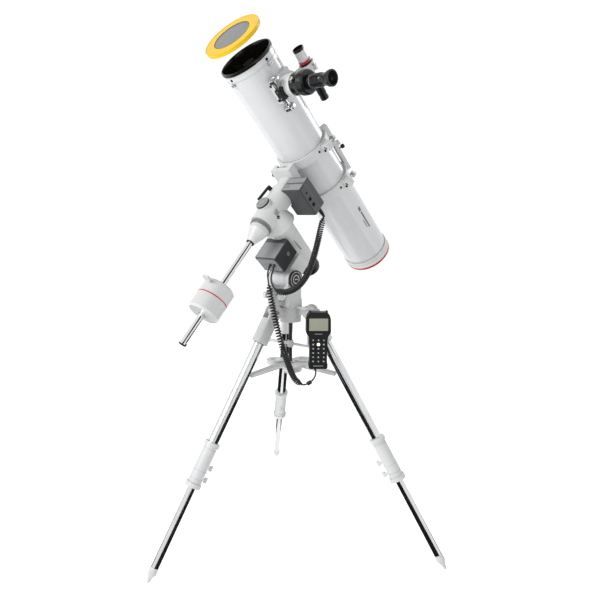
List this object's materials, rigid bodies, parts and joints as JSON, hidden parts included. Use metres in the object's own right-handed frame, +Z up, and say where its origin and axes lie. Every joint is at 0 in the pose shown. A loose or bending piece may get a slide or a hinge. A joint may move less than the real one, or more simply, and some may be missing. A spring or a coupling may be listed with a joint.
{
  "type": "telescope on tripod",
  "caption": "Reflector telescope on a motorised equatorial mount and steel tripod, with counterweight, finder, hand controller and front solar filter",
  "frame": {"origin": "on the ground under the middle of the whole object's box", "axes": "+Z up; the eyepiece and the hand controller face -Y, and the polar axis points to -X -Y"},
  "size_m": [0.8671, 0.8048, 1.5871],
  "materials": {
    "white_paint": "smooth satin white paint",
    "white_casting": "fine textured white paint on cast aluminium",
    "white_plastic": "moulded white plastic",
    "steel_tube": "polished stainless tube",
    "chrome": "bright chrome",
    "black_plastic": "fine grained black plastic",
    "grey_plastic": "dark grey moulded plastic",
    "black_metal": "black anodised metal",
    "black_steel": "black zinc-plated steel thread",
    "iron_weight": "white enamel on cast iron",
    "rubber": "black soft cable jacket",
    "key_rubber": "silicone keys",
    "mirror": "aluminised glass",
    "yellow_plastic": "moulded yellow plastic with solar film",
    "silver_aluminium": "satin anodised aluminium"
  },
  "bodies": {
    "tripod": {"tripod_hub": "white_casting"},
    "spreader": {"spreader_tray": "white_casting"},
    "centre_bolt": {"centre_bolt": "black_steel"},
    "leg_left": {"leg_left_socket": "white_casting", "leg_left_outer_tube": "steel_tube", "leg_left_collar": "white_plastic"},
    "shin_left": {"leg_left_inner_tube": "steel_tube"},
    "leg_right": {"leg_right_socket": "white_casting", "leg_right_outer_tube": "steel_tube", "leg_right_collar": "white_plastic"},
    "shin_right": {"leg_right_inner_tube": "steel_tube"},
    "leg_rear": {"leg_rear_socket": "white_casting", "leg_rear_outer_tube": "steel_tube", "leg_rear_collar": "white_plastic"},
    "shin_rear": {"leg_rear_inner_tube": "steel_tube"},
    "azimuth": {"azimuth_base": "white_casting", "azimuth_screws": "white_plastic", "altitude_pivot": "black_plastic", "handset_bracket": "white_plastic", "handset_coil": "rubber", "handset_tail": "rubber", "ferrite": "black_plastic"},
    "handset": {"handset_body": "black_plastic", "handset_keys": "key_rubber"},
    "latitude": {"polar_housing": "white_casting", "polar_end_cap": "black_plastic", "polar_motor_box": "grey_plastic", "handset_lead": "rubber", "dec_lead": "rubber", "dec_coil": "rubber"},
    "polar": {"dec_housing": "white_casting", "polar_shaft": "steel_tube", "polar_scope_cap": "grey_plastic", "dec_lower_cover": "white_casting", "counterweight_bar": "chrome", "dec_motor_box": "grey_plastic", "dec_plug": "black_plastic"},
    "dec_lever": {"dec_lever": "black_plastic"},
    "counterweight": {"counterweight": "iron_weight"},
    "counterweight_screw": {"counterweight_screw": "white_plastic"},
    "declination": {"dec_shaft": "steel_tube", "saddle": "white_casting"},
    "saddle_knob": {"saddle_knob": "black_plastic"},
    "cradle": {"dovetail": "silver_aluminium", "ring_bottoms": "white_casting"},
    "ring_tops": {"ring_tops": "white_casting", "ring_knobs": "silver_aluminium", "handle_bar": "white_casting"},
    "tube": {"tube": "white_paint", "front_rim": "black_plastic", "rear_cell": "white_plastic", "mirrors": "mirror", "spider": "black_metal", "focuser_body": "white_casting", "finder_bracket": "white_plastic", "finder_scope": "white_paint"},
    "drawtube": {"drawtube": "black_metal"},
    "focus_knobs": {"focus_knobs": "silver_aluminium"},
    "eyepiece": {"eyepiece": "black_metal"},
    "solar_filter": {"solar_filter": "yellow_plastic"}
  },
  "joints": [
    {"name": "spreader_slide", "type": "slide", "parent": "tripod", "child": "spreader", "axis": [0, 0, 1], "range_m": [-0.03, 0]},
    {"name": "centre_bolt_turn", "type": "hinge", "parent": "tripod", "child": "centre_bolt", "pos_m": [-0.0169, -0.0975, 0.622], "axis": [0, 0, 1], "continuous": true},
    {"name": "leg_left_fold", "type": "hinge", "parent": "tripod", "child": "leg_left", "pos_m": [-0.07193, -0.13448, 0.73163], "axis": [0.5577, -0.83, 0], "range_deg": [0, 3.7]},
    {"name": "leg_left_extend", "type": "slide", "parent": "leg_left", "child": "shin_left", "axis": [-0.4225, -0.2839, -0.8607], "range_m": [-0.23, 0.06]},
    {"name": "leg_right_fold", "type": "hinge", "parent": "tripod", "child": "leg_right", "pos_m": [0.04264, -0.12667, 0.73163], "axis": [0.4399, 0.898, 0], "range_deg": [0, 3.7]},
    {"name": "leg_right_extend", "type": "slide", "parent": "leg_right", "child": "shin_right", "axis": [0.4571, -0.2239, -0.8607], "range_m": [-0.23, 0.06]},
    {"name": "leg_rear_fold", "type": "hinge", "parent": "tripod", "child": "leg_rear", "pos_m": [-0.02141, -0.03135, 0.73163], "axis": [-0.9977, -0.068, 0], "range_deg": [0, 3.7]},
    {"name": "leg_rear_extend", "type": "slide", "parent": "leg_rear", "child": "shin_rear", "axis": [-0.0346, 0.5079, -0.8607], "range_m": [-0.23, 0.06]},
    {"name": "azimuth_turn", "type": "hinge", "parent": "tripod", "child": "azimuth", "pos_m": [-0.0169, -0.0975, 0.744], "axis": [0, 0, 1], "range_deg": [-6, 1]},
    {"name": "handset_lift", "type": "slide", "parent": "azimuth", "child": "handset", "axis": [0, 0, 1], "range_m": [0, 0.04]},
    {"name": "latitude_tilt", "type": "hinge", "parent": "azimuth", "child": "latitude", "pos_m": [-0.03622, -0.11636, 0.836], "axis": [-0.6984, 0.7157, 0], "range_deg": [-10, 15]},
    {"name": "polar_turn", "type": "hinge", "parent": "latitude", "child": "polar", "pos_m": [-0.08357, -0.16256, 1.0394], "axis": [-0.5191, -0.5066, 0.6884], "range_deg": [-90, 90]},
    {"name": "dec_lever_turn", "type": "hinge", "parent": "polar", "child": "dec_lever", "pos_m": [-0.08015, -0.13679, 1.11098], "axis": [-0.7657, -0.1567, 0.6239], "range_deg": [-25, 25]},
    {"name": "counterweight_slide", "type": "slide", "parent": "polar", "child": "counterweight", "axis": [0.4927, 0.4808, 0.7254], "range_m": [-0.08, 0.13]},
    {"name": "counterweight_screw_turn", "type": "hinge", "parent": "counterweight", "child": "counterweight_screw", "pos_m": [-0.23186, -0.30727, 0.82106], "axis": [-0.3626, -0.6443, 0.6733], "continuous": true},
    {"name": "declination_turn", "type": "hinge", "parent": "polar", "child": "declination", "pos_m": [-0.08357, -0.16256, 1.0394], "axis": [0.4927, 0.4808, 0.7254], "continuous": true},
    {"name": "saddle_knob_turn", "type": "hinge", "parent": "declination", "child": "saddle_knob", "pos_m": [-0.05622, -0.08278, 1.16233], "axis": [0.6984, -0.7157, 0], "continuous": true},
    {"name": "dovetail_slide", "type": "slide", "parent": "declination", "child": "cradle", "axis": [-0.5191, -0.5066, 0.6884], "range_m": [-0.03, 0.03]},
    {"name": "ring_open", "type": "hinge", "parent": "cradle", "child": "ring_tops", "pos_m": [-0.00698, 0.04492, 1.19176], "axis": [-0.5191, -0.5066, 0.6884], "range_deg": [0, 70]},
    {"name": "tube_roll", "type": "hinge", "parent": "cradle", "child": "tube", "pos_m": [0.03861, -0.04333, 1.21929], "axis": [-0.5191, -0.5066, 0.6884], "range_deg": [-15, 15]},
    {"name": "focus_travel", "type": "slide", "parent": "tube", "child": "drawtube", "axis": [0.6528, -0.7549, -0.0632], "range_m": [0, 0.03]},
    {"name": "focus_knob_turn", "type": "hinge", "parent": "tube", "child": "focus_knobs", "pos_m": [-0.05319, -0.26621, 1.36665], "axis": [-0.5191, -0.5066, 0.6884], "range_deg": [-280, 280]},
    {"name": "eyepiece_pull", "type": "slide", "parent": "drawtube", "child": "eyepiece", "axis": [0.6528, -0.7549, -0.0632], "range_m": [0, 0.045]},
    {"name": "filter_fit", "type": "hinge", "parent": "tube", "child": "solar_filter", "pos_m": [0.00092, -0.93467, 1.07645], "axis": [0.8334, -0.1216, 0.5391], "range_deg": [-4.6, 0]}
  ],
  "couplings": [
    {"joint": "leg_left_fold", "follows": "spreader_slide", "rad_per_m": -2.1},
    {"joint": "leg_right_fold", "follows": "spreader_slide", "rad_per_m": -2.1},
    {"joint": "leg_rear_fold", "follows": "spreader_slide", "rad_per_m": -2.1},
    {"joint": "focus_knob_turn", "follows": "focus_travel", "rad_per_m": 160}
  ]
}
